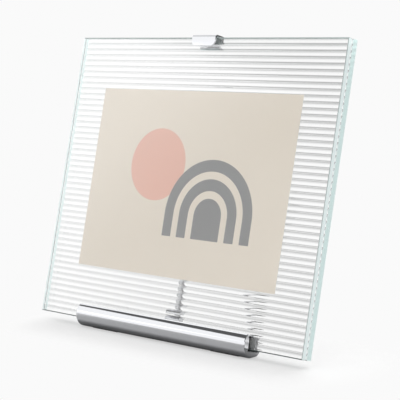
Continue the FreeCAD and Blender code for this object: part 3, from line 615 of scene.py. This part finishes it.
def makeSlotLiner():
    low, high = boxIn("slot_liner", leaning)
    wall = frontLow.y - low.y
    bm = bmesh.new()
    faces = traceOutline(bm, (low.y, low.z), [
        (high.y, low.z),
        (high.y, frontLow.z),
        (frontLow.y, frontLow.z),
        (frontLow.y, high.z),
        (frontLow.y, high.z - wall, pi / 2, barShape["linerSteps"]),
        (low.y, low.z),
    ])
    pullAcross(bm, faces, low.x, high.x)
    finishPiece(bm, "slotLinerRubber", leaning, [rubber], "stand", "slot_liner")


def makeBarPads():
    low, high = boxIn("bar_pads", upright)
    length = padLength()
    bm = bmesh.new()
    for left in (high.x - length, low.x):
        makeBlock(bm, Vector((left, low.y, low.z)), Vector((left + length, high.y, high.z)))
    roundEdges(bm, bm.edges[:], barShape["padEdge"], fineSteps)
    finishPiece(bm, "barPadsRubber", upright, [rubber], "stand", "bar_pads")


makeFootBar()
makeSlotLiner()
makeBarPads()
print("foot bar ready")


# Top clip

clipShape = {
    "bend": 0.5,             # inner radius
    "bendSteps": 8,
    "corner": 3.8,
    "cornerSteps": 12,
    "edge": 0.2,
    "lipDrop": 2.0,          # the clip's lower edge below the CAD's, as in the photo
    "edgeFrom": 50,          # degrees; sharper turns get that edge
}


def makeTopClip():
    low, high = boxIn("top_clip", leaning)
    linLow, linHigh = boxIn("clip_lining", leaning)
    sheet = linLow.y - low.y
    low.z -= clipShape["lipDrop"]
    bend = clipShape["bend"]
    outer = bend + sheet
    steps = clipShape["bendSteps"]
    bm = bmesh.new()
    faces = traceOutline(bm, (low.y, low.z), [
        (linLow.y, low.z),
        (linLow.y, linHigh.z - bend),
        (linLow.y + bend, linHigh.z - bend, -pi / 2, steps),
        (linHigh.y - bend, linHigh.z),
        (linHigh.y - bend, linHigh.z - bend, -pi / 2, steps),
        (linHigh.y, low.z),
        (high.y, low.z),
        (high.y, high.z - outer),
        (high.y - outer, high.z - outer, pi / 2, steps),
        (low.y + outer, high.z),
        (low.y + outer, high.z - outer, pi / 2, steps),
        (low.y, low.z),
    ])
    pullAcross(bm, faces, low.x, high.x)
    corners = edgesWhere(bm, lambda middle, along: (
        abs(along.y) > alongAxis and abs(middle.z - low.z) < nearReach
        and abs(abs(middle.x) - high.x) < nearReach))
    roundEdges(bm, corners, clipShape["corner"], clipShape["cornerSteps"])
    sharp = [edge for edge in bm.edges if edge.calc_face_angle(0) > radians(clipShape["edgeFrom"])]
    roundEdges(bm, sharp, clipShape["edge"], fineSteps)
    finishPiece(bm, "topClipChrome", leaning, [chrome], "clip", "top_clip", weighted=True)


makeTopClip()
print("clip ready")


# Rods and the leg

rodShape = {"bevel": 0.4, "steps": 64}


def makeRod(node, name, place, body):
    low, high = boxIn(node, place)
    radius = (high.x - low.x) / 2
    bm = bmesh.new()
    start = Vector((0, (low.y + high.y) / 2, low.z))
    finish = Vector((0, (low.y + high.y) / 2, high.z))
    makeRound(bm, radius, start, finish, rodShape["steps"], rodShape["bevel"])
    finishPiece(bm, name, place, [chrome], body, node, weighted=True)


tipShape = {"domeSteps": 16, "lipSteps": 6, "turnSteps": 48, "socket": 3}


def makeLegTip():
    low, high = boxIn("leg_tip", onLeg)
    radius = (high.x - low.x) / 2
    hole = boxIn("leg_rod", onLeg)[1].x
    lip = (radius - hole) / 2
    bm = bmesh.new()
    traceLine(bm, (0, low.z), [
        (0, low.z + radius, pi / 2, tipShape["domeSteps"]),
        (radius, high.z - lip),
        (radius - lip, high.z - lip, pi / 2, tipShape["lipSteps"]),
        (hole, high.z),
        (hole, high.z - tipShape["socket"]),
    ])
    bmesh.ops.spin(bm, geom=bm.verts[:] + bm.edges[:], cent=(0, 0, 0), axis=(0, 0, 1), angle=2 * pi,
                   steps=tipShape["turnSteps"], use_merge=True)
    bmesh.ops.remove_doubles(bm, verts=bm.verts, dist=mergeReach)
    bmesh.ops.holes_fill(bm, edges=[edge for edge in bm.edges if edge.is_boundary])
    bmesh.ops.recalc_face_normals(bm, faces=bm.faces)
    finishPiece(bm, "legTipRubber", onLeg, [rubber], "leg", "leg_tip")


restPadShape = {"steps": 48, "edge": 0.3}


def makeRestPad():
    low, high = boxIn("rest_pad", leaning)
    bm = bmesh.new()
    middle = (low.z + high.z) / 2
    makeRound(bm, (high.x - low.x) / 2, Vector((0, low.y, middle)), Vector((0, high.y, middle)),
              restPadShape["steps"], restPadShape["edge"])
    finishPiece(bm, "restPadRubber", leaning, [rubber], "stand", "rest_pad")


copyShape = {
    "merge": 0.002,          # millimetres
    "flatWithin": 0.8,       # degrees
    "trimTowards": (0, -0.53, -0.848),  # square to the cut that trims the tongue
    "trimDepth": 0.15,       # that cut, inside the round of the bar
}


def dressCopy(node, name, place, material, body):  # a smoothed copy of a CAD piece
    bm = bmesh.new()
    bm.from_mesh(nodes[node].data)
    bmesh.ops.transform(bm, matrix=place.inverted(), verts=bm.verts)
    bmesh.ops.remove_doubles(bm, verts=bm.verts, dist=copyShape["merge"])
    bmesh.ops.dissolve_limit(bm, angle_limit=radians(copyShape["flatWithin"]), verts=bm.verts,
                             edges=bm.edges)
    if node in ("foot_bracket", "bracket_screws"):
        trimTongue(bm)
    finishPiece(bm, name, place, [material], body, node, weighted=True)


def trimTongue(bm):  # the bracket's tongue ends flush with the round of the bar
    toUpright = Matrix.Rotation(leanTurn, 4, "X")
    down = toUpright.inverted() @ Vector(copyShape["trimTowards"]).normalized()
    cut = bmesh.ops.bisect_plane(bm, geom=bm.verts[:] + bm.edges[:] + bm.faces[:], dist=cutReach,
                                 plane_co=down * (barShape["radius"] - copyShape["trimDepth"]),
                                 plane_no=down, clear_outer=True)
    bmesh.ops.holes_fill(bm, edges=[part for part in cut["geom_cut"] if isinstance(part, bmesh.types.BMEdge)])


makeRod("spine_rod", "spineRodChrome", leaning, "stand")
makeRod("leg_rod", "legRodChrome", onLeg, "leg")
makeLegTip()
makeRestPad()
dressCopy("hinge_head", "hingeHeadSatin", leaning, satin, "stand")
dressCopy("leg_knuckle", "legKnuckleSatin", onLeg, satin, "leg")
dressCopy("foot_bracket", "footBracketChrome", leaning, chrome, "stand")
dressCopy("bracket_screws", "bracketScrewsZinc", leaning, zinc, "stand")
for node, material in (("grub_screws", zinc), ("hinge_pin", zinc), ("pin_retainer", zinc),
                       ("pin_washers", nylon), ("clip_lining", film)):
    nodes[node].data.materials.clear()
    nodes[node].data.materials.append(material)
print("stand and leg ready")


# Studio

studio = {
    "backdrop": 0.956,       # what the camera and polished metal see round the object
    "skyLight": 0.88,        # light from all round on dull surfaces
    "paneLight": 1.56,       # the same light where it comes through the glass
    "cardLevel": 1.25,       # white card in front, in metal
    "ceilingLevel": 1.35,
    "glareLevel": 2.0,       # low softbox over that card, whose slanted edge crosses the front pane
    "gapLevel": 0.125,       # dark gap from the front card to the ceiling, in metal
    "flagLevel": 0.10,       # dark flag to the right behind the object, in metal
    "lowLevel": 0.45,        # what the reeds see when they look steeply down, then ahead, then up
    "aheadLevel": 0.975,
    "highLevel": 0.45,
    "sideLevel": 0.72,       # the same, down and up, towards the left
    "leftOf": (-1.0, -1.06),  # where that starts and ends, as x / y
}

# Where things stand round the object. Each border is a direction square to it and, along that
# direction, where the thing starts and where it is full.
studioBorders = {
    "glare": (((0.5, -0.655, -0.567), 0.02, -0.09),
              ((0, 0, 1), 0.33, 0.31), ((0, 1, 0), -0.5, -0.6)),
    "ceiling": (((0, 1, 0), -0.15, -0.05),),
    "backWall": (((0, 1, 0), 0.3, 0.5),),
    "gapFront": (((2.56, 1, 0), -2.0846, -2.0546),),
    "gapBack": (((0, 1, 0), -0.065, -0.035),),
    "aboveCard": (((0, 0, 1), 0.3, 0.4),),
    "flag": (((1, 0, 0), 0.3, 0.4), ((0, 1, 0), -0.2, 0.1)),
    "pastFloor": (((0, 0, 1), -0.8, -0.7),),
    "ahead": (((0, 0, 1), -0.6, -0.02),),
    "aboveWall": (((0, 0, 1), 0.24, 0.30),),
}

# Each level is off where its mask is 0 and on where it is 1, and later ones use those before.
studioLevels = (
    ("card", "glare", "cardLevel", "glareLevel"),
    ("overhead", "backWall", "ceilingLevel", "backdrop"),
    ("inMetal", "ceiling", "card", "overhead"),
    ("inMetal", "gap", "inMetal", "gapLevel"),
    ("inMetal", "flag", "inMetal", "flagLevel"),
    ("low", "aside", "lowLevel", "sideLevel"),
    ("low", "pastFloor", "aheadLevel", "low"),
    ("high", "aside", "highLevel", "sideLevel"),
    ("inGlass", "ahead", "low", "aheadLevel"),
    ("inGlass", "aboveWall", "inGlass", "high"),
    ("inGlass", "glare", "inGlass", "glareLevel"),
    ("onDull", "throughGlass", "skyLight", "paneLight"),
    ("seen", "reflected", "skyLight", "inMetal"),
    ("seen", "throughGlass", "seen", "inGlass"),
    ("seen", "scattered", "seen", "onDull"),
    ("seen", "byCamera", "seen", "backdrop"),
)


def makeWorld():
    world = bpy.data.worlds.new("studio")
    bpy.context.scene.world = world
    world.use_nodes = True
    tree = world.node_tree
    towards = addNode(tree, "ShaderNodeTexCoord").outputs["Generated"]
    masks = {}
    for name, borders in studioBorders.items():
        masks[name] = 1.0
        for square, start, end in borders:
            along = addNode(tree, "ShaderNodeVectorMath", {0: towards, 1: square}, operation="DOT_PRODUCT")
            past = addNode(tree, "ShaderNodeMapRange", {
                "Value": along.outputs["Value"], "From Min": start, "From Max": end},
                interpolation_type="SMOOTHSTEP")
            masks[name] = addNode(tree, "ShaderNodeMath", {0: masks[name], 1: past.outputs["Result"]},
                                  operation="MULTIPLY").outputs["Value"]
    # The gap's borders cross on the far left, where it is below 0 and brightens the wall instead
    gap = addNode(tree, "ShaderNodeMath", {0: masks["gapFront"], 1: masks["gapBack"]}, operation="SUBTRACT")
    masks["gap"] = addNode(tree, "ShaderNodeMath", {0: gap.outputs["Value"], 1: masks["aboveCard"]},
                           operation="MULTIPLY").outputs["Value"]
    split = addNode(tree, "ShaderNodeSeparateXYZ", {"Vector": towards}).outputs
    slope = addNode(tree, "ShaderNodeMath", {0: split["X"], 1: split["Y"]}, operation="DIVIDE")
    start, end = studio["leftOf"]
    masks["aside"] = addNode(tree, "ShaderNodeMapRange", {
        "Value": slope.outputs["Value"], "From Min": start, "From Max": end},
        interpolation_type="SMOOTHSTEP").outputs["Result"]
    path = addNode(tree, "ShaderNodeLightPath").outputs
    masks["byCamera"] = path["Is Camera Ray"]
    masks["reflected"] = path["Is Glossy Ray"]
    masks["throughGlass"] = path["Is Transmission Ray"]
    masks["scattered"] = addNode(tree, "ShaderNodeMath", {0: path["Diffuse Depth"], 1: 0.5},
                                 operation="GREATER_THAN").outputs["Value"]
    levels = dict(studio)
    for name, mask, off, on in studioLevels:
        levels[name] = addNode(tree, "ShaderNodeMix", {0: masks[mask], 2: levels[off], 3: levels[on]},
                               clamp_factor=False).outputs[0]
    setInputs(tree.nodes["Background"], {"Color": (1, 1, 1, 1), "Strength": levels["seen"]})


floorLook = {                # places are in metres
    "half": 6.0,             # from the middle to a side
    "colour": 0.93,
    "besideInMetal": 0.25,   # its colour in the metal, as painted shade: darkest beside the bar, lighter in front of it, dark again past its end
    "aheadInMetal": 0.67,
    "pastEndInMetal": 0.27,
    "ahead": (0.007, 0.0145),           # where the second starts and is full, from the bar's axis
    "pastEnd": (0.078, 0.09),           # the same for the third, from the middle to the right
    "patchHalf": (0.105, 0.022),        # the patch of floor that keeps its shadows
    "patchMiddle": (0.02, -0.036),
    "fade": (0.005, 0.045),             # where the floor fades into the backdrop, from that patch
    "tipFade": (0.014, 0.034),          # the same, from the leg's tip
    "white": 0.5,                       # share of the backdrop's plain white where it has not faded
}


def makeFloor():
    bm = bmesh.new()
    bmesh.ops.create_grid(bm, x_segments=1, y_segments=1, size=floorLook["half"])
    mesh = bpy.data.meshes.new("studioFloor")
    bm.to_mesh(mesh)
    bm.free()
    material, tree, shader = newMaterial("paintedFloor", "#F6F6F6", {
        "Roughness": 0.9, "Specular IOR Level": 0.1})
    path = addNode(tree, "ShaderNodeLightPath").outputs
    place = addNode(tree, "ShaderNodeTexCoord").outputs["Object"]
    offset = place
    for operation, amount in (("SUBTRACT", floorLook["patchMiddle"]), ("ABSOLUTE", (0, 0)),
                              ("SUBTRACT", floorLook["patchHalf"]), ("MAXIMUM", (0, 0))):
        offset = addNode(tree, "ShaderNodeVectorMath", {0: offset, 1: (*amount, 0)},
                         operation=operation).outputs["Vector"]
    fromPatch = addNode(tree, "ShaderNodeVectorMath", {0: offset}, operation="LENGTH").outputs["Value"]
    fromTip = addNode(tree, "ShaderNodeVectorMath", {0: place, 1: (0, tipCentre.y, 0)},
                      operation="DISTANCE").outputs["Value"]
    split = addNode(tree, "ShaderNodeSeparateXYZ", {"Vector": place}).outputs
    fromAxis = addNode(tree, "ShaderNodeMath", {0: split["Y"], 1: barAxis.y}, operation="SUBTRACT")
    fromBar = addNode(tree, "ShaderNodeMath", {0: fromAxis.outputs["Value"]}, operation="ABSOLUTE")
    steps = {"ahead": fromBar.outputs["Value"], "pastEnd": split["X"], "fade": fromPatch, "tipFade": fromTip}
    for name, value in steps.items():
        start, end = floorLook[name]
        steps[name] = addNode(tree, "ShaderNodeMapRange", {
            "Value": value, "From Min": start, "From Max": end},
            interpolation_type="SMOOTHSTEP").outputs["Result"]
    # painted shade: for glossy rays the floor is darker beside the bar and past its end, where chrome
    # reflects it
    colour = floorLook["besideInMetal"]
    for name in ("ahead", "pastEnd"):
        colour = addNode(tree, "ShaderNodeMix", {
            0: steps[name], 2: colour, 3: floorLook[name + "InMetal"]}).outputs[0]
    colour = addNode(tree, "ShaderNodeMix", {0: path["Is Glossy Ray"], 2: floorLook["colour"], 3: colour})
    setInputs(shader, {"Base Color": colour.outputs[0]})
    faded = addNode(tree, "ShaderNodeMath", {0: steps["fade"], 1: steps["tipFade"]}, operation="MULTIPLY")
    faded = addNode(tree, "ShaderNodeMix", {0: faded.outputs["Value"], 2: floorLook["white"], 3: 1.0})
    fade = addNode(tree, "ShaderNodeMath", {0: faded.outputs[0], 1: path["Is Camera Ray"]},
                   operation="MULTIPLY")
    white = addNode(tree, "ShaderNodeEmission", {"Strength": studio["backdrop"]})
    blend = addNode(tree, "ShaderNodeMixShader", {
        0: fade.outputs["Value"], 1: shader.outputs["BSDF"], 2: white.outputs["Emission"]})
    setInputs(tree.nodes["Material Output"], {"Surface": blend.outputs["Shader"]})
    mesh.materials.append(material)
    floor = bpy.data.objects.new("studioFloor", mesh)
    floor.visible_transmission = False
    bpy.context.scene.collection.objects.link(floor)


softbox = {
    "place": (-0.1, 0.95, 1.15),        # metres, behind the frame and above it
    "target": (0, 0, 0.05),
    "side": 0.8,
    "watts": 8,
}


def makeSoftbox():
    lamp = bpy.data.lights.new("backSoftbox", "AREA")
    lamp.shape = "RECTANGLE"
    lamp.size = lamp.size_y = softbox["side"]
    lamp.energy = softbox["watts"]
    holder = bpy.data.objects.new("backSoftbox", lamp)
    holder.location = softbox["place"]
    aim = Vector(softbox["target"]) - Vector(softbox["place"])
    holder.rotation_euler = aim.to_track_quat("-Z", "Y").to_euler()
    holder.visible_glossy = False
    bpy.context.scene.collection.objects.link(holder)


cameraView = {
    "azimuth": 41.645,
    "elevation": 6.669,
    "focalPixels": 1359.5,
    "photoPixels": 400,
    "fromGlassFoot": (610.0, -646.53, 192.88),   # millimetres from the foot of the glass's front face
    "nearest": 0.01,
}


def makeCamera():
    azimuth = radians(cameraView["azimuth"])
    elevation = radians(cameraView["elevation"])
    back = Vector((sin(azimuth) * cos(elevation), -cos(azimuth) * cos(elevation), sin(elevation)))
    right = Vector((cos(azimuth), sin(azimuth), 0))
    camera = bpy.data.objects.new("photoCamera", bpy.data.cameras.new("photoCamera"))
    bpy.context.scene.collection.objects.link(camera)
    turned = Matrix((right, back.cross(right), back)).transposed().to_4x4()
    glassFoot = leaning @ Vector((0, frontLow.y, frontLow.z))
    turned.translation = glassFoot + Vector(cameraView["fromGlassFoot"]) * millimetre
    camera.matrix_world = turned
    camera.data.lens = camera.data.sensor_width * cameraView["focalPixels"] / cameraView["photoPixels"]
    camera.data.clip_start = cameraView["nearest"]
    bpy.context.scene.camera = camera


makeFloor()
makeWorld()
makeSoftbox()
makeCamera()
bpy.context.scene.view_settings.view_transform = "Standard"
print("studio ready")
